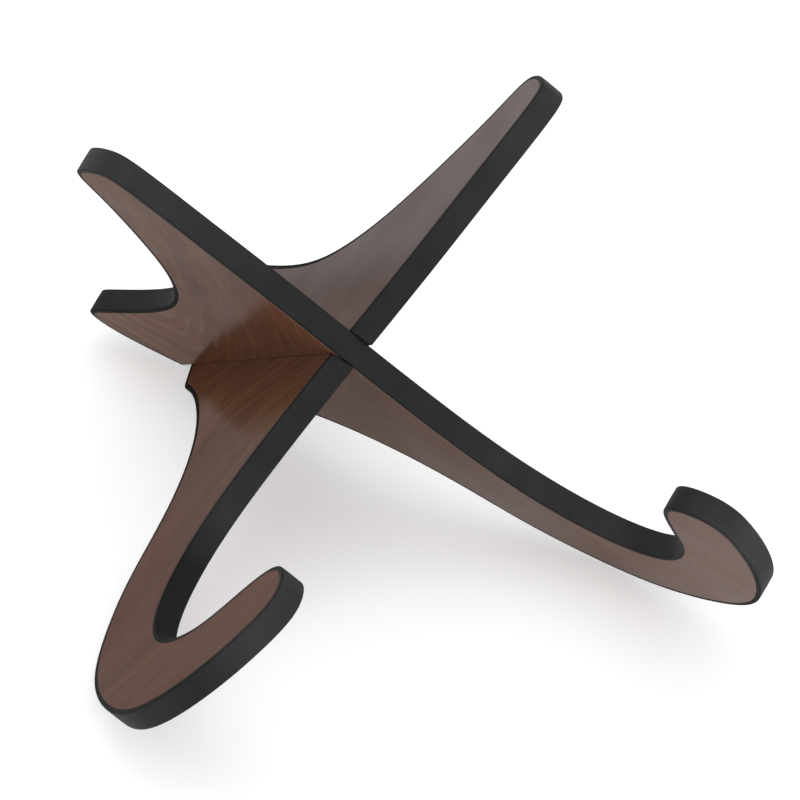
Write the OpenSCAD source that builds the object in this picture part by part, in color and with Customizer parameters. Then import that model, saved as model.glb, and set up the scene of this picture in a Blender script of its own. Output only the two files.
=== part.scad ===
// Collapsible X-frame instrument stand.
// Two curved boards of one pattern halve into each other on a shared slot line.
// Each board is a plywood core with a veneer on both faces and a soft strip
// wrapped round its whole edge. The upper arms carry the instrument's back,
// the hooks hold its lower edge, and the stand rests on the two hook bottoms
// and the two leg corners.

/* [Board] */
// Full thickness of a board, core and both veneers
board_t = 12; // [10:0.5:14]
// Thickness of each face veneer
veneer_t = 0.8; // [0.5:0.1:1.5]
// Size of the whole outline compared with the nominal one
outline_scale = 1; // [0.9:0.05:1.1]
// How much further the upper board's arm tip reaches than the lower board's
arm_extra = 3; // [0:0.5:5]

/* [Edge strip] */
// Thickness of the soft strip glued round the edge
strip_t = 2.4; // [1.8:0.2:3]

/* [Crossing] */
// Angle between the two hook halves, seen along the slot
cross_angle = 94; // [88:1:100]
// Depth of the slot meeting line below the top edge
slot_meet = 98; // [85:1:110]
// Play on each side of a board in its slot
slot_play = 0.5; // [0.3:0.1:0.8]

/* [Quality] */
// Straight steps in each span of the outline curve
span_steps = 6; // [4:1:8]

/* [Hidden] */

core_t = board_t - 2 * veneer_t;
half = cross_angle / 2;
wood = [0.41, 0.32, 0.27];
ply = [0.72, 0.58, 0.42];
black = [0.17, 0.17, 0.18];

// Guide points of one board's outline, millimetres, in the board's own plane.
// The first number runs from the arm tip (-) to the hook (+), the second up
// from the leg to the side that faces the instrument. 0,0 is the slot line at
// the straight top edge. The third is how tightly the edge turns there. Every
// point sits on a 5 mm grid.
guide = [
    // arm tip and the straight top edge
    [-150, 5, 1], [-145, 25, 1], [-135, 30, 1], [-95, 20, 1], [-45, 10, 1], [5, -5, 1], [70, -20, 1], [110, -20, 1],
    // inside of the hook
    [145, -5, 1], [165, 25, 1], [160, 60, 1], [145, 80, 1],
    // hook tip
    [115, 110, 1], [135, 140, 1], [155, 130, 1],
    // outside of the hook
    [180, 105, 1], [200, 70, 1], [205, 35, 1], [190, -20, 1], [160, -50, 1], [130, -70, 1], [90, -80, 1],
    // front of the leg and its corner
    [50, -110, 1], [25, -155, 1], [20, -180, 2],
    // sloping foot and heel
    [-35, -230, 1], [-55, -225, 1], [-55, -215, 1],
    // back of the leg and underside of the arm
    [-50, -160, 1], [-50, -110, 1], [-65, -75, 1], [-85, -50, 1], [-125, -15, 1], [-145, -5, 1]
];
function at_arm_tip(g) = g[0] < -120 && g[1] > -30;
function ctrl_of(extra) = [for (g = guide) for (k = [1:g[2]])
    outline_scale * [g[0] - (at_arm_tip(g) ? extra : 0), g[1]]];

// Smooth closed curve that the guide points pull into shape
function blend3(a, b, c, d, t) =
    (pow(1 - t, 3) * a + (3 * t * t * t - 6 * t * t + 4) * b
     + (-3 * t * t * t + 3 * t * t + 3 * t + 1) * c + t * t * t * d) / 6;
function curve(c) = let (n = len(c)) [for (i = [0:n - 1]) for (s = [0:span_steps - 1])
    blend3(c[i], c[(i + 1) % n], c[(i + 2) % n], c[(i + 3) % n], s / span_steps)];
outline = curve(ctrl_of(0));
outline_up = curve(ctrl_of(arm_extra));
no = len(outline);

// The same outline set in by d, each side moved parallel to itself
function unit(v) = v / norm(v);
function inward(a, b) = let (t = unit(b - a)) [t[1], -t[0]];
function set_in(pts, d) = let (n = len(pts)) [for (i = [0:n - 1])
    let (n1 = inward(pts[(i + n - 1) % n], pts[i]), n2 = inward(pts[i], pts[(i + 1) % n]))
    pts[i] + d * (n1 + n2) / (1 + n1 * n2)];
field = set_in(outline, strip_t);
field_up = set_in(outline_up, strip_t);

// The stand leans so that the leg corner and the hook bottom share the floor.
corner = [for (i = [0:no - 1]) if (outline[i][0] > 0 && outline[i][0] < 30 && outline[i][1] < -120) outline[i]];
floor_slope = max([for (c = corner) min([for (p = outline) if (p[0] > 60) (p[1] - c[1]) / (p[0] - c[0])])]);
lean = atan(floor_slope / cos(half));

// Row-frame height and depth of a board point, before the stand is centred
function depth_of(p, w) = -cos(lean) * (p[0] * cos(half) + w * sin(half)) - sin(lean) * p[1];
function height_of(p, w) = -sin(lean) * (p[0] * cos(half) + w * sin(half)) + cos(lean) * p[1];
y_all = [for (p = outline) for (w = [-board_t / 2, board_t / 2]) depth_of(p, w)];
z_all = [for (p = outline) for (w = [-board_t / 2, board_t / 2]) height_of(p, w)];
y_mid = (min(y_all) + max(y_all)) / 2;
z_low = min(z_all);

// Moves a board from its own plane to where it stands
module stand_up(side) {
    translate([0, -y_mid, -z_low]) rotate([lean, 0, 0])
        rotate([0, 0, side == "upper" ? half - 90 : -half - 90]) rotate([90, 0, 0]) children();
}

// Space that the crossing board needs, in the board's own plane.
// The upper board is slotted from below and the lower board from above.
module slot(side) {
    turn = side == "upper" ? -cross_angle : cross_angle;
    low = side == "upper" ? -400 : -slot_meet - 0.2;
    high = side == "upper" ? -slot_meet + 0.2 : 200;
    rotate([0, turn, 0]) translate([-60, low, -board_t / 2 - slot_play])
        cube([120, high - low, board_t + 2 * slot_play]);
}

// A flat layer of the board between two heights across its thickness
module layer(pts, w0, w1) {
    translate([0, 0, w0]) linear_extrude(height = w1 - w0) polygon(pts);
}

module board_layer(side, w0, w1) {
    stand_up(side) difference() {
        layer(side == "upper" ? field_up : field, w0, w1);
        slot(side);
    }
}

module board_strip(side) {
    stand_up(side) difference() {
        layer(side == "upper" ? outline_up : outline, -board_t / 2, board_t / 2);
        translate([0, 0, -board_t]) linear_extrude(height = 2 * board_t)
            polygon(side == "upper" ? field_up : field);
        slot(side);
    }
}

module upper_core() { color(ply) board_layer("upper", -core_t / 2, core_t / 2); }
module upper_left_veneer() { color(wood) board_layer("upper", core_t / 2, board_t / 2); }
module upper_right_veneer() { color(wood) board_layer("upper", -board_t / 2, -core_t / 2); }
module upper_edge_strip() { color(black) board_strip("upper"); }
module lower_core() { color(ply) board_layer("lower", -core_t / 2, core_t / 2); }
module lower_left_veneer() { color(wood) board_layer("lower", core_t / 2, board_t / 2); }
module lower_right_veneer() { color(wood) board_layer("lower", -board_t / 2, -core_t / 2); }
module lower_edge_strip() { color(black) board_strip("lower"); }

upper_core();
upper_left_veneer();
upper_right_veneer();
upper_edge_strip();
lower_core();
lower_left_veneer();
lower_right_veneer();
lower_edge_strip();
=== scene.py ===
import math
import bpy
from mathutils import Vector, Matrix


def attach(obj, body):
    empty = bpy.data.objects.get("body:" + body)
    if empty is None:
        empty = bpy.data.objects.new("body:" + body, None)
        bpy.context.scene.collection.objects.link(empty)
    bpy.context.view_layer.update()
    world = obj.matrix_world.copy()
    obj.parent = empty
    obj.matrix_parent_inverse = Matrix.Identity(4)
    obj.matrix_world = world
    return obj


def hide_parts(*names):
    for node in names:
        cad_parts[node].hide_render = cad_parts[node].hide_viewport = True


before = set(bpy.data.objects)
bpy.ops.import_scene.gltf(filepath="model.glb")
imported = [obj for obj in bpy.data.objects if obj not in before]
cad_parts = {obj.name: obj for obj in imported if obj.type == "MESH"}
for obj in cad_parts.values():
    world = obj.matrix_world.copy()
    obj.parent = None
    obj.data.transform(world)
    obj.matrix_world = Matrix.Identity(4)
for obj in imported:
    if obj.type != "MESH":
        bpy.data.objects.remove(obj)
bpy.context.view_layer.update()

# ---------------------------------------------------------------- board geometry
# The same outline as the CAD boards: guide points in millimetres in the board's
# own plane, u from the arm tip (-) to the hook (+), v up to the instrument side.
T = 12.0
CORE = 10.4
STRIP = 2.4
ANGLE = 94.0
MEET = 98.0
PLAY = 0.14
HALF = math.radians(ANGLE / 2)
GUIDE = [
    (-150, 5, 1), (-145, 25, 1), (-135, 30, 1), (-95, 20, 1), (-45, 10, 1), (5, -5, 1), (70, -20, 1), (110, -20, 1),
    (145, -5, 1), (165, 25, 1), (160, 60, 1), (145, 80, 1),
    (115, 110, 1), (135, 140, 1), (155, 130, 1),
    (180, 105, 1), (200, 70, 1), (205, 35, 1), (190, -20, 1), (160, -50, 1), (130, -70, 1), (90, -80, 1),
    (50, -110, 1), (25, -155, 1), (20, -180, 2),
    (-35, -230, 1), (-55, -225, 1), (-55, -215, 1),
    (-50, -160, 1), (-50, -110, 1), (-65, -75, 1), (-85, -50, 1), (-125, -15, 1), (-145, -5, 1),
]
ARM_EXTRA = {"upper": 3.0, "lower": 0.0}


def outline(side, steps):
    extra = ARM_EXTRA[side]
    ctrl = [(float(x) - (extra if x < -120 and y > -30 else 0.0), float(y)) for x, y, k in GUIDE for _ in range(k)]
    n = len(ctrl)
    pts = []
    for i in range(n):
        a, b, c, d = (ctrl[(i + k) % n] for k in range(4))
        for s in range(steps):
            t = s / steps
            w = ((1 - t) ** 3, 3 * t ** 3 - 6 * t * t + 4, -3 * t ** 3 + 3 * t * t + 3 * t + 1, t ** 3)
            pts.append(tuple(sum(wk * p[j] for wk, p in zip(w, (a, b, c, d))) / 6 for j in (0, 1)))
    return pts


def sub(a, b): return (a[0] - b[0], a[1] - b[1])
def unit(a):
    m = math.hypot(*a) or 1.0
    return (a[0] / m, a[1] / m)


def inward(pts):
    """Inward mitre direction at each point of a closed outline that runs clockwise."""
    n = len(pts)
    out = []
    for i in range(n):
        t1 = unit(sub(pts[i], pts[i - 1])); t2 = unit(sub(pts[(i + 1) % n], pts[i]))
        n1 = (t1[1], -t1[0]); n2 = (t2[1], -t2[0])
        k = 1 + n1[0] * n2[0] + n1[1] * n2[1]
        out.append(((n1[0] + n2[0]) / k, (n1[1] + n2[1]) / k))
    return out


def moved(pts, normals, d):
    return [(p[0] + d * q[0], p[1] + d * q[1]) for p, q in zip(pts, normals)]


# Where the boards stand: the same lean and centring as the CAD model
coarse = outline("lower", 6)
corner = [c for c in coarse if 0 < c[0] < 30 and c[1] < -120]
slope = max(min((p[1] - c[1]) / (p[0] - c[0]) for p in coarse if p[0] > 60) for c in corner)
LEAN = math.atan(slope / math.cos(HALF))
depth = lambda p, w: -math.cos(LEAN) * (p[0] * math.cos(HALF) + w * math.sin(HALF)) - math.sin(LEAN) * p[1]
height = lambda p, w: -math.sin(LEAN) * (p[0] * math.cos(HALF) + w * math.sin(HALF)) + math.cos(LEAN) * p[1]
ys = [depth(p, w) for p in coarse for w in (-T / 2, T / 2)]
zs = [height(p, w) for p in coarse for w in (-T / 2, T / 2)]
SHIFT = Vector((0, -(min(ys) + max(ys)) / 2, -min(zs)))


def board_matrix(side):
    turn = HALF - math.pi / 2 if side == "upper" else -HALF - math.pi / 2
    m = Matrix.Rotation(LEAN, 3, "X") @ Matrix.Rotation(turn, 3, "Z") @ Matrix.Rotation(math.pi / 2, 3, "X")
    return m


MAT = {s: board_matrix(s) for s in ("upper", "lower")}


def place(side, u, v, w):
    return (MAT[side] @ Vector((u, v, w)) + SHIFT) / 1000


def repaired(inner, outer, gap):
    """Where a tight corner makes the inner line cross itself, its points slide to the crossing."""
    n = len(inner)
    ok = []
    for i, p in enumerate(inner):
        near = min(math.hypot(p[0] - outer[(i + k) % n][0], p[1] - outer[(i + k) % n][1]) for k in range(-40, 41))
        ok.append(near > gap - 0.03)
    res = list(inner)
    i = 0
    while i < n:
        if ok[i]:
            i += 1
            continue
        a = i
        while not ok[a % n]:
            a -= 1
        b = i
        while not ok[b % n]:
            b += 1
        mid = tuple((inner[a % n][k] + inner[b % n][k]) / 2 for k in (0, 1))
        for j in range(a + 1, b):
            res[j % n] = mid
        i = b + 1
    return res


# Fine outline, a hair inside the CAD one so that the visual model stays in its box
STEPS = 22
BASE, RIM = {}, {}
for side in ("upper", "lower"):
    line = outline(side, STEPS)
    line = moved(line, inward(line), 0.06)
    BASE[side] = line
    RIM[side] = repaired(moved(line, inward(line), STRIP), line, STRIP)


def wall(side, w, sign):
    """Where the slot wall is along u at height w of the thickness."""
    s, c = abs(math.sin(math.radians(ANGLE))), math.cos(math.radians(ANGLE))
    lean_w = (-c if side == "upper" else c) * w
    return (sign * (T / 2 + PLAY) - lean_w) / s


def in_slot(side, p, w=0.0, extra=0.0):
    here = wall(side, w, -1) - extra < p[0] < wall(side, w, 1) + extra
    return here and (p[1] < -MEET if side == "upper" else p[1] > -MEET)


def mesh_object(name, verts, faces, smooth_angle=40):
    me = bpy.data.meshes.new(name)
    me.from_pydata([tuple(v) for v in verts], [], faces)
    me.validate()
    me.update()
    ob = bpy.data.objects.new(name, me)
    bpy.context.scene.collection.objects.link(ob)
    for p in me.polygons:
        p.use_smooth = len(p.vertices) <= 8
    import bmesh
    bm = bmesh.new(); bm.from_mesh(me)
    bmesh.ops.recalc_face_normals(bm, faces=bm.faces)
    for e in bm.edges:
        if len(e.link_faces) == 2 and e.calc_face_angle(0) > math.radians(smooth_angle):
            e.smooth = False
    bm.to_mesh(me); bm.free()
    return ob


# ---------------------------------------------------------------- edge strip
def section():
    """Cross-section of the strip: (share of the way in, height w), rounded outer corners,
    a slightly crowned face and a fine rounded shoulder where it meets the veneer."""
    r, ri, h, crown = 0.75, 0.28, T / 2, 0.10
    pts = []
    # inner side, low to high is hidden; start at inner low shoulder
    for k in range(4):
        a = math.pi / 2 * k / 3
        pts.append((STRIP - ri + ri * math.cos(a) , -h + ri - ri * math.sin(a)))
    for k in range(7):
        a = math.pi / 2 * k / 6
        pts.append((r - r * math.sin(a), -h + r - r * math.cos(a)))
    m = 6
    for k in range(1, m):
        w = -h + r + (2 * h - 2 * r) * k / m
        pts.append((crown * (w / h) ** 2 - crown * ((h - r) / h) ** 2 + 0.0, w))
    for k in range(7):
        a = math.pi / 2 * k / 6
        pts.append((r - r * math.cos(a), h - r + r * math.sin(a)))
    for k in range(4):
        a = math.pi / 2 * k / 3
        pts.append((STRIP - ri + ri * math.sin(a), h - ri + ri * math.cos(a)))
    low = min(p[0] for p in pts)
    return [(p[0] - min(low, 0.0), p[1]) for p in pts]


SEC = section()


def strip_piece(side):
    base, rim_in = BASE[side], RIM[side]
    n = len(base)
    keep = [not in_slot(side, base[i], 0, 1.3) for i in range(n)]
    start = next(i for i in range(n) if keep[i] and not keep[i - 1])
    idx = []
    i = start
    while keep[i % n] and len(idx) < n:
        idx.append(i % n)
        i += 1

    def ring(p, q, shrink=0.0):
        """p outer point, q inner point"""
        d = ((q[0] - p[0]) / STRIP, (q[1] - p[1]) / STRIP)
        out = []
        for s, w in SEC:
            s2 = STRIP / 2 + (s - STRIP / 2) * (1 - shrink / (STRIP / 2))
            w2 = w * (1 - shrink / (T / 2))
            out.append((p[0] + d[0] * s2, p[1] + d[1] * s2, w2))
        return out

    rings = [ring(base[i], rim_in[i]) for i in idx]

    def end_rings(i, j, sign):
        """Rounded end against the slot wall: i is the last kept point, j its inner neighbour on the run."""
        t = unit(sub(base[i], base[j]))
        out = []
        for gap, shrink in ((0.55, 0.0), (0.30, 0.05), (0.12, 0.16), (0.0, 0.38)):
            r = []
            for (u, v, w) in ring(base[i], rim_in[i], shrink):
                target = wall(side, w, sign) + sign * gap
                k = (target - u) / t[0]
                r.append((u + t[0] * k, v + t[1] * k, w))
            out.append(r)
        return out

    first, last = idx[0], idx[-1]
    sa = 1 if base[first][0] > 0 else -1
    sb = 1 if base[last][0] > 0 else -1
    rings = list(reversed(end_rings(first, idx[3], sa))) + rings + end_rings(last, idx[-4], sb)
    m = len(SEC)
    verts = [place(side, *p) for r in rings for p in r]
    faces = []
    for a in range(len(rings) - 1):
        for k in range(m):
            k2 = (k + 1) % m
            faces.append((a * m + k, a * m + k2, (a + 1) * m + k2, (a + 1) * m + k))
    faces.append(tuple(range(m - 1, -1, -1)))
    faces.append(tuple((len(rings) - 1) * m + k for k in range(m)))
    return mesh_object(side + "_leather_edge", verts, faces, 50)


# ---------------------------------------------------------------- veneers
def plate_line(side, w):
    """Closed line of the veneer with its slot, in the board's plane."""
    line = []
    for p in RIM[side]:
        if not line or math.hypot(p[0] - line[-1][0], p[1] - line[-1][1]) > 0.05:
            line.append(p)
    n = len(line)
    end = -MEET + 0.2 if side == "upper" else -MEET - 0.2
    inside = [in_slot(side, p, w) for p in line]
    start = next(i for i in range(n) if not inside[i] and inside[i - 1])
    run = []
    i = start
    while not inside[i % n]:
        run.append(line[i % n])
        i += 1

    def cut(a, b):
        """Point on the line from a, outside, to b, inside, at the wall."""
        s = 1 if a[0] > 0 else -1
        u = wall(side, w, s)
        k = (u - a[0]) / (b[0] - a[0])
        return (u, a[1] + k * (b[1] - a[1]))

    head = cut(run[0], line[(start - 1) % n])
    tail = cut(run[-1], line[i % n])
    pts = [head] + run + [tail, (tail[0], end), (head[0], end)]
    return pts


def veneer_piece(side, face):
    top = T / 2 if face == "left" else -T / 2
    bottom = CORE / 2 if face == "left" else -CORE / 2
    sgn = 1 if face == "left" else -1
    line = plate_line(side, top)
    # area sign gives the direction of the line
    area = sum(a[0] * b[1] - b[0] * a[1] for a, b in zip(line, line[1:] + line[:1]))
    norms = inward(line)
    if area > 0:
        norms = [(-a, -b) for a, b in norms]
    rows = []
    # sanded arris, a little wider along the upper board's straight top edge
    def arris(p):
        if side == "upper" and face == "left" and p[1] > -40:
            return 0.22 + 0.30 * max(0.0, min(1.0, 2.0 - abs(p[0] - 20.0) / 60.0))
        return 0.22
    for inset, drop in ((0.0, T / 2 - CORE / 2), (0.0, None), (0.3, 0.3), (1.0, 0.0)):
        row = []
        for p, q in zip(line, norms):
            r = arris(p)
            down = r if drop is None else (drop if inset == 0.0 else drop * r)
            row.append((p[0] + inset * r * q[0], p[1] + inset * r * q[1], top - sgn * down))
        rows.append(row)
    m = len(line)
    verts = [place(side, *p) for row in rows for p in row]
    faces = []
    for a in range(len(rows) - 1):
        for k in range(m):
            k2 = (k + 1) % m
            faces.append((a * m + k, a * m + k2, (a + 1) * m + k2, (a + 1) * m + k))
    faces.append(tuple(k for k in range(m - 1, -1, -1)))
    faces.append(tuple((len(rows) - 1) * m + k for k in range(m)))
    return mesh_object(side + "_" + face + "_walnut_face", verts, faces, 35)


# ---------------------------------------------------------------- materials
class Nodes:
    def __init__(self, name):
        self.mat = bpy.data.materials.new(name)
        self.mat.use_nodes = True
        self.t = self.mat.node_tree
        self.t.nodes.clear()

    def add(self, kind, **props):
        n = self.t.nodes.new(kind)
        for k, v in props.items():
            setattr(n, k, v)
        return n

    def link(self, a, b):
        self.t.links.new(a, b)

    def value(self, sock, v):
        if isinstance(v, (int, float)):
            sock.default_value = v
        elif isinstance(v, (tuple, list)):
            sock.default_value = v
        else:
            self.link(v, sock)

    def math(self, op, a, b=0.0, c=None, clamp=False):
        n = self.add("ShaderNodeMath", operation=op, use_clamp=clamp)
        self.value(n.inputs[0], a)
        self.value(n.inputs[1], b)
        if c is not None:
            self.value(n.inputs[2], c)
        return n.outputs[0]

    def noise(self, vec, scale, detail=3, rough=0.5, dist=0.0):
        n = self.add("ShaderNodeTexNoise")
        self.link(vec, n.inputs["Vector"])
        n.inputs["Scale"].default_value = scale
        n.inputs["Detail"].default_value = detail
        n.inputs["Roughness"].default_value = rough
        n.inputs["Distortion"].default_value = dist
        return n.outputs["Fac"]

    def combine(self, x, y, z=0.0):
        n = self.add("ShaderNodeCombineXYZ")
        self.value(n.inputs[0], x); self.value(n.inputs[1], y); self.value(n.inputs[2], z)
        return n.outputs[0]

    def ramp(self, fac, stops, interp="LINEAR"):
        n = self.add("ShaderNodeValToRGB")
        n.color_ramp.interpolation = interp
        el = n.color_ramp.elements
        while len(el) > 1:
            el.remove(el[-1])
        el[0].position, el[0].color = stops[0][0], stops[0][1]
        for p, c in stops[1:]:
            e = el.new(p); e.color = c
        self.link(fac, n.inputs[0])
        return n.outputs["Color"]

    def smooth(self, v, lo, hi):
        n = self.add("ShaderNodeMapRange", interpolation_type="SMOOTHSTEP")
        self.value(n.inputs["Value"], v)
        n.inputs["From Min"].default_value = lo
        n.inputs["From Max"].default_value = hi
        return n.outputs["Result"]

    def mix(self, fac, a, b, mode="MIX"):
        n = self.add("ShaderNodeMix", data_type="RGBA", blend_type=mode)
        self.value(n.inputs[0], fac)
        for s, v in ((n.inputs[6], a), (n.inputs[7], b)):
            if isinstance(v, tuple):
                s.default_value = v
            else:
                self.link(v, s)
        return n.outputs[2]

    def board_uvw(self, side):
        """Position in the board's own plane, in metres: x is u, y is v, z is w."""
        tc = self.add("ShaderNodeTexCoord")
        m = MAT[side].transposed()
        mp = self.add("ShaderNodeMapping", vector_type="POINT")
        mp.inputs["Rotation"].default_value = m.to_euler("XYZ")
        mp.inputs["Location"].default_value = -(m @ SHIFT) / 1000
        self.link(tc.outputs["Object"], mp.inputs["Vector"])
        sep = self.add("ShaderNodeSeparateXYZ")
        self.link(mp.outputs[0], sep.inputs[0])
        return mp.outputs[0], sep.outputs[0], sep.outputs[1], sep.outputs[2]


def c3(r, g, b): return (r, g, b, 1.0)


def walnut(side, face):
    N = Nodes("walnut_veneer_%s_%s" % (side, face))
    vec, u, v, w = N.board_uvw(side)
    seed = {"upperleft": 1.3, "upperright": 5.1, "lowerleft": 9.7, "lowerright": 14.2}[side + face]
    mul = lambda x, y: N.math("MULTIPLY", x, y)
    add = lambda x, y: N.math("ADD", x, y)
    U, V = mul(u, 1000.0), mul(v, 1000.0)
    # "ring" is constant along a growth line, in millimetres: its level lines are the figure
    if side == "upper":
        limb = add(add(U, mul(V, 0.83)), mul(mul(V, V), 0.00175))
        foot = add(add(mul(U, 0.141), mul(V, -0.417)), -170.7)
        ring = N.math("SMOOTH_MAX", limb, foot, 14.0)
        shank = N.smooth(U, 25.0, 75.0)
        ring = add(mul(ring, N.math("SUBTRACT", 1.0, shank)), mul(add(add(mul(U, -0.28), mul(V, 0.96)), 65.0), shank))
        along = add(mul(U, 0.5), mul(V, -0.85))
    else:
        ring = add(V, mul(U, 0.1))
        ring = add(ring, mul(N.math("TANH", mul(add(U, -18.0), 1 / 22.0)), 38.0))
        far = N.math("MAXIMUM", add(U, -80.0), 0.0)
        ring = add(ring, mul(mul(far, far), 0.0045))
        ring = add(ring, mul(N.math("MAXIMUM", add(mul(U, -1.0), -5.0), 0.0), -0.6))
        along = add(mul(U, -0.8), mul(V, 0.6))
    half_of = lambda x: N.math("SUBTRACT", x, 0.5)
    wide = N.noise(N.combine(mul(U, 0.020), mul(V, 0.020), seed), 1.0, 2, 0.5)
    mid = N.noise(N.combine(mul(U, 0.085), mul(V, 0.085), seed + 3), 1.0, 2, 0.5)
    small = N.noise(N.combine(mul(U, 0.30), mul(V, 0.30), seed + 6), 1.0, 2, 0.5)
    ring = add(ring, add(mul(half_of(wide), 12.0), add(mul(half_of(mid), 3.6), mul(half_of(small), 0.9))))
    bands = N.noise(N.combine(mul(along, 0.006), mul(ring, 0.085), seed), 1.0, 3, 0.55)
    lines = N.noise(N.combine(mul(along, 0.022), mul(ring, 0.40 if side == "upper" else 0.24), seed + 1), 1.0, 3, 0.5)
    fibre = N.noise(N.combine(mul(along, 0.12), mul(ring, 1.9), seed + 2), 1.0, 2, 0.6)
    pores = N.noise(N.combine(mul(along, 0.26), mul(ring, 2.6), seed + 4), 1.0, 1, 0.5)
    pore = N.smooth(pores, 0.60, 0.72)
    cloud = N.noise(N.combine(mul(U, 0.030), mul(V, 0.030), seed + 9), 1.0, 2, 0.5)

    col = N.ramp(bands, [(0.25, c3(0.066, 0.0250, 0.0130)), (0.5, c3(0.082, 0.0320, 0.0170)), (0.75, c3(0.104, 0.0430, 0.0220))])
    # strongest figure where the leaf crosses the middle of the board
    if side == "lower":
        strong = N.math("SUBTRACT", 1.0, N.smooth(N.math("ABSOLUTE", add(U, -22.0)), 26.0, 62.0))
    else:
        strong = N.math("SUBTRACT", 1.0, N.smooth(U, -10.0, 40.0))
    calm = N.math("SUBTRACT", 1.0, mul(N.smooth(U, 60.0, 110.0), 0.6 if side == "upper" else 0.3))
    dark_line = mul(mul(N.smooth(lines, 0.48, 0.70), add(0.15, mul(strong, 0.22 if side == "upper" else 0.34))), calm)
    col = N.mix(dark_line, col, c3(0.043, 0.0150, 0.0080))
    light_line = mul(N.smooth(N.math("SUBTRACT", 1.0, lines), 0.48, 0.70), mul(add(0.10, mul(strong, 0.12 if side == "upper" else 0.20)), calm))
    col = N.mix(light_line, col, c3(0.150, 0.0700, 0.0330))
    col = N.mix(mul(N.smooth(fibre, 0.42, 0.70), mul(calm, 0.16)), col, c3(0.125, 0.0550, 0.0285))
    if side == "upper":
        # cathedral arcs on the leg and foot
        here = mul(N.math("SUBTRACT", 1.0, N.smooth(V, -122.0, -70.0)), N.math("SUBTRACT", 1.0, N.smooth(U, -22.0, 5.0)))
        wave = N.math("SINE", mul(ring, 2 * math.pi / 7.6))
        here = mul(here, N.smooth(mid, 0.30, 0.62))
        col = N.mix(mul(mul(N.smooth(wave, 0.05, 0.95), here), 0.50), col, c3(0.145, 0.0880, 0.0370))
        col = N.mix(mul(mul(N.smooth(mul(wave, -1.0), 0.45, 1.0), here), 0.12), col, c3(0.050, 0.0190, 0.0100))
    if side == "lower":
        # tawny patch low on the leg, and a greyer, darker arm
        tawny = mul(N.math("SUBTRACT", 1.0, N.smooth(N.math("ABSOLUTE", add(U, -38.0)), 8.0, 26.0)), N.smooth(cloud, 0.40, 0.62))
        col = N.mix(mul(tawny, 0.40), col, c3(0.120, 0.0620, 0.0240))
        arm = N.math("SUBTRACT", 1.0, N.smooth(u, -0.045, 0.0))
        col = N.mix(mul(arm, 0.55), col, c3(0.034, 0.0170, 0.0150))
    col = N.mix(mul(pore, 0.20), col, c3(0.024, 0.0085, 0.0050))
    col = N.mix(mul(N.smooth(cloud, 0.52, 0.80), 0.22), col, c3(0.052, 0.0200, 0.0110))

    # painted reflection: warmer and redder where the two leaves face each other and reflect one another; on the upper
    # board the same warm tint also rises toward the hook
    painted_bounce_warmth = N.math("SUBTRACT", 1.0, N.smooth(N.math("ABSOLUTE", add(U, 18.0 if side == "upper" else -16.0)), 18.0, 46.0))
    if side == "upper":
        painted_bounce_warmth = N.math("MAXIMUM", painted_bounce_warmth, N.smooth(U, 110.0, 170.0))
    col = N.mix(mul(painted_bounce_warmth, 0.13), col, c3(0.200, 0.0900, 0.0560))
    if side == "upper":
        # painted highlight: the sanded arris along the straight top edge is painted as a thin light line
        arris = N.math("SUBTRACT", 1.0, N.smooth(N.math("ABSOLUTE", w), 0.00590, 0.00599))
        arris = mul(mul(arris, N.math("SUBTRACT", 1.0, N.smooth(N.math("ABSOLUTE", add(U, -20.0)), 70.0, 120.0))), N.smooth(V, -40.0, -30.0))
        col = N.mix(mul(arris, 0.75), col, c3(0.42, 0.27, 0.18))

    rough = add(0.34, mul(half_of(lines), 0.10))
    hgt = N.math("SUBTRACT", add(mul(fibre, 0.35), mul(lines, 0.20)), mul(pore, 0.6))
    bump = N.add("ShaderNodeBump")
    bump.inputs["Strength"].default_value = 0.22
    bump.inputs["Distance"].default_value = 0.00006
    N.link(hgt, bump.inputs["Height"])
    soft = N.add("ShaderNodeBump")
    soft.inputs["Strength"].default_value = 0.10
    soft.inputs["Distance"].default_value = 0.00003
    N.link(hgt, soft.inputs["Height"])
    p = N.add("ShaderNodeBsdfPrincipled")
    N.link(col, p.inputs["Base Color"])
    N.link(rough, p.inputs["Roughness"])
    p.inputs["IOR"].default_value = 1.45
    p.inputs["Specular IOR Level"].default_value = 0.0
    # how much the polish shows along the board, from arm tip to hook
    place = N.add("ShaderNodeMapRange")
    N.link(u, place.inputs["Value"])
    place.inputs["From Min"].default_value = -0.16
    place.inputs["From Max"].default_value = 0.22
    gloss = {"upperleft": (0.29, 0.27, 0.28, 0.28, 0.43, 0.46), "lowerleft": (0.48, 0.40, 0.25, 0.20, 0.20, 0.20)}
    gloss = gloss.get(side + face, (0.42,) * 6)
    coat = N.ramp(place.outputs["Result"], [((x + 0.16) / 0.38, c3(g, g, g)) for x, g in zip((-0.15, -0.06, -0.03 if side == "lower" else 0.02, 0.06, 0.12, 0.20), gloss)])
    sheen = mul(coat, add(0.90, mul(half_of(cloud), 0.5)))
    if side + face == "lowerleft":
        # the polish is worn off at the leg's corner
        worn = N.math("MULTIPLY", N.math("SUBTRACT", 1.0, N.smooth(V, -154.0, -126.0)), N.smooth(U, -4.0, 6.0))
        sheen = mul(sheen, N.math("SUBTRACT", 1.0, mul(worn, 0.85)))
    N.link(sheen, p.inputs["Coat Weight"])
    p.inputs["Coat Roughness"].default_value = 0.18
    p.inputs["Coat IOR"].default_value = 1.5
    N.link(bump.outputs[0], p.inputs["Normal"])
    N.link(soft.outputs[0], p.inputs["Coat Normal"])
    out = N.add("ShaderNodeOutputMaterial")
    N.link(p.outputs[0], out.inputs[0])
    return N.mat


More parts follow.
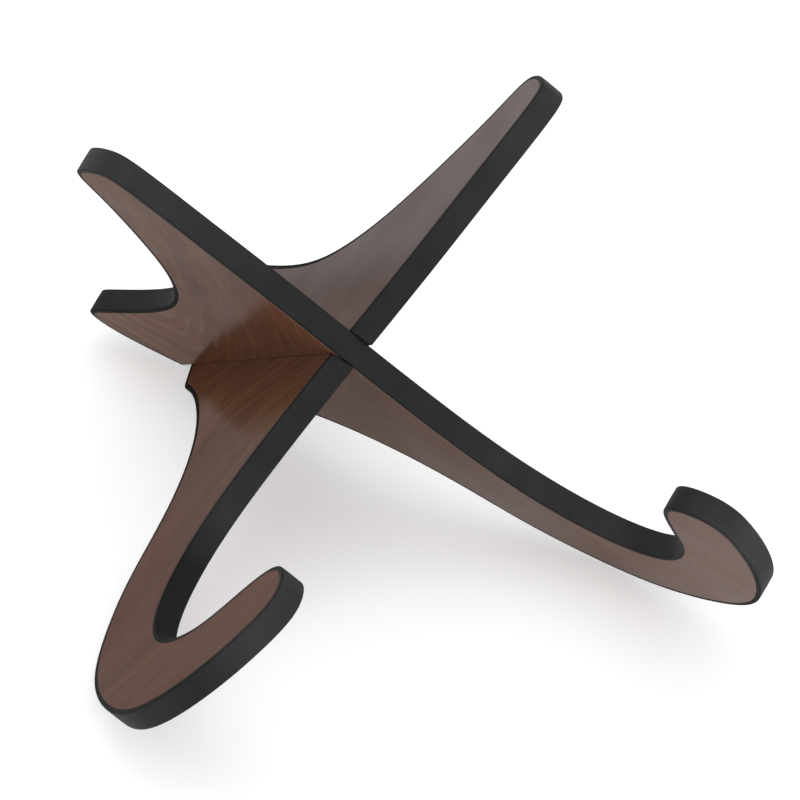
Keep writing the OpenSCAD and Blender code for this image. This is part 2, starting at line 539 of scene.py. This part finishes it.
def leather(side):
    N = Nodes("black_leather_%s" % side)
    vec, u, v, w = N.board_uvw(side)
    cell = N.add("ShaderNodeTexVoronoi", feature="SMOOTH_F1")
    N.link(vec, cell.inputs["Vector"])
    cell.inputs["Scale"].default_value = 1500.0
    big = N.noise(vec, 60.0, 3, 0.55)
    fine = N.noise(vec, 2600.0, 2, 0.6)
    col = N.ramp(big, [(0.3, c3(0.0170, 0.0170, 0.0176)), (0.7, c3(0.0230, 0.0230, 0.0240))])
    mul = lambda x, y: N.math("MULTIPLY", x, y)
    less = lambda x, k: N.math("SUBTRACT", 1.0, mul(x, k))
    # painted highlight brighter toward the ends, and painted shade darker on the leg, under the hook, at the hook's tip
    # and in the throat
    end_highlight = N.smooth(N.math("ABSOLUTE", u), 0.02, 0.15)
    leg = N.smooth(mul(v, -1.0), 0.052, 0.085)
    under = mul(N.smooth(u, 0.145, 0.180), less(N.smooth(v, 0.095, 0.140), 1.0))
    tip = mul(N.smooth(v, 0.095, 0.120), less(N.smooth(u, 0.118, 0.138), 1.0))
    du, dv = N.math("SUBTRACT", u, 0.135), N.math("SUBTRACT", v, 0.015)
    throat = less(N.smooth(N.math("SQRT", N.math("ADD", mul(du, du), mul(dv, dv))), 0.030, 0.056), 1.0)
    painted_shade = mul(mul(mul(less(leg, 0.68), less(under, 0.45)), less(tip, 0.40)), less(throat, 0.50 if side == "lower" else 0.10))
    shade = mul(N.math("ADD", 0.94, mul(end_highlight, 0.62)), painted_shade)
    # the flat sides of the strip, next to the veneer, stay dark
    flank = N.smooth(N.math("ABSOLUTE", w), 0.0053, 0.0059)
    shade = mul(shade, less(flank, 0.45))
    grey = N.add("ShaderNodeCombineColor")
    for k in range(3):
        N.link(shade, grey.inputs[k])
    col = N.mix(1.0, col, grey.outputs[0], "MULTIPLY")
    # wear: a few rubbed flecks on the arrises
    col = N.mix(mul(mul(flank, 0.35), N.smooth(fine, 0.55, 0.85)), col, c3(0.026, 0.026, 0.027))
    rough = N.math("ADD", 0.62, N.math("MULTIPLY", N.math("SUBTRACT", big, 0.5), 0.16))
    hgt = N.math("ADD", N.math("MULTIPLY", cell.outputs["Distance"], 0.8), N.math("MULTIPLY", fine, 0.35))
    bump = N.add("ShaderNodeBump")
    bump.inputs["Strength"].default_value = 0.30
    bump.inputs["Distance"].default_value = 0.00010
    N.link(hgt, bump.inputs["Height"])
    p = N.add("ShaderNodeBsdfPrincipled")
    N.link(col, p.inputs["Base Color"])
    N.link(rough, p.inputs["Roughness"])
    # the painted shade also lowers the specular level in those places
    N.link(mul(mul(painted_shade, less(flank, 0.45)), 0.12), p.inputs["Specular IOR Level"])
    N.link(bump.outputs[0], p.inputs["Normal"])
    out = N.add("ShaderNodeOutputMaterial")
    N.link(p.outputs[0], out.inputs[0])
    return N.mat


def plywood(side):
    N = Nodes("plywood_core_%s" % side)
    vec, u, v, w = N.board_uvw(side)
    wob = N.noise(N.combine(N.math("MULTIPLY", u, 25.0), N.math("MULTIPLY", v, 25.0), 0.0), 1.0, 2, 0.5)
    ply = N.math("MULTIPLY", N.math("ADD", w, N.math("MULTIPLY", N.math("SUBTRACT", wob, 0.5), 0.0004)), 1.0 / 0.0015)
    alt = N.smooth(N.math("SINE", N.math("MULTIPLY", ply, math.pi)), -0.35, 0.35)
    grain1 = N.noise(N.combine(N.math("MULTIPLY", u, 900.0), N.math("MULTIPLY", v, 60.0), N.math("MULTIPLY", w, 900.0)), 1.0, 3, 0.6)
    grain2 = N.noise(N.combine(N.math("MULTIPLY", u, 60.0), N.math("MULTIPLY", v, 900.0), N.math("MULTIPLY", w, 900.0)), 1.0, 3, 0.6)
    a = N.ramp(grain1, [(0.3, c3(0.30, 0.175, 0.085)), (0.7, c3(0.47, 0.30, 0.155))])
    b = N.ramp(grain2, [(0.3, c3(0.20, 0.105, 0.050)), (0.7, c3(0.33, 0.19, 0.095))])
    col = N.mix(alt, a, b)
    bump = N.add("ShaderNodeBump")
    bump.inputs["Strength"].default_value = 0.25
    bump.inputs["Distance"].default_value = 0.00015
    N.link(N.math("ADD", grain1, N.math("MULTIPLY", alt, 0.4)), bump.inputs["Height"])
    p = N.add("ShaderNodeBsdfPrincipled")
    N.link(col, p.inputs["Base Color"])
    p.inputs["Roughness"].default_value = 0.72
    N.link(bump.outputs[0], p.inputs["Normal"])
    out = N.add("ShaderNodeOutputMaterial")
    N.link(p.outputs[0], out.inputs[0])
    return N.mat


for side in ("upper", "lower"):
    body = side + "_board"
    strip = strip_piece(side)
    strip.data.materials.append(leather(side))
    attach(strip, body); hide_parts(side + "_edge_strip")
    for face in ("left", "right"):
        ven = veneer_piece(side, face)
        ven.data.materials.append(walnut(side, face))
        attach(ven, body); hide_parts("%s_%s_veneer" % (side, face))
    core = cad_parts[side + "_core"]
    mat = plywood(side)
    if core.material_slots:
        for s in core.material_slots:
            s.material = mat
    else:
        core.data.materials.append(mat)

# ---------------------------------------------------------------- floor, light, camera
bpy.ops.mesh.primitive_plane_add(size=14, location=(0, 0, -0.0001))
floor = bpy.context.object
floor.name = "floor"
N = Nodes("pale_floor")
p = N.add("ShaderNodeBsdfPrincipled")
p.inputs["Base Color"].default_value = (0.82, 0.82, 0.82, 1)
p.inputs["Emission Color"].default_value = (1.0, 1.0, 1.0, 1)
p.inputs["Emission Strength"].default_value = 0.42
p.inputs["Roughness"].default_value = 0.9
p.inputs["Specular IOR Level"].default_value = 0.1
out = N.add("ShaderNodeOutputMaterial")
N.link(p.outputs[0], out.inputs[0])
floor.data.materials.append(N.mat)

scene = bpy.context.scene
world = bpy.data.worlds.new("studio")
scene.world = world
world.use_nodes = True
world.node_tree.nodes["Background"].inputs["Color"].default_value = (1.0, 1.0, 1.0, 1)
world.node_tree.nodes["Background"].inputs["Strength"].default_value = 0.92


def area(name, loc, target, size, power):
    light = bpy.data.lights.new(name, "AREA")
    light.shape = "SQUARE"
    light.size = size
    light.energy = power
    ob = bpy.data.objects.new(name, light)
    scene.collection.objects.link(ob)
    ob.location = loc
    ob.rotation_euler = (Vector(target) - Vector(loc)).to_track_quat("-Z", "Y").to_euler()
    return ob


area("key_light", (-1.2, -0.6, 2.4), (0, 0, 0.1), 2.4, 8)

cam_data = bpy.data.cameras.new("camera")
cam = bpy.data.objects.new("camera", cam_data)
scene.collection.objects.link(cam)
# camera pose in the slot's own frame (before the stand leans), then leaned with it
tilt = Matrix.Rotation(LEAN, 3, "X")
right = tilt @ Vector((0.91597534, -0.17135508, 0.36280382))
down = tilt @ Vector((-0.17479372, -0.98432222, -0.02359918))
look = tilt @ Vector((0.36115970, -0.04179956, -0.93156667))
eye = (tilt @ Vector((-1091.1393, 102.3965, 2857.8938)) + SHIFT) / 1000
rot = Matrix((right, -down, -look)).transposed()
cam.matrix_world = Matrix.Translation(eye) @ rot.to_4x4()
cam_data.sensor_width = 36.0
cam_data.lens = 6936.9 * 36.0 / 800.0
cam_data.clip_end = 50
scene.camera = cam
scene.view_settings.view_transform = "Standard"
scene.view_settings.look = "None"
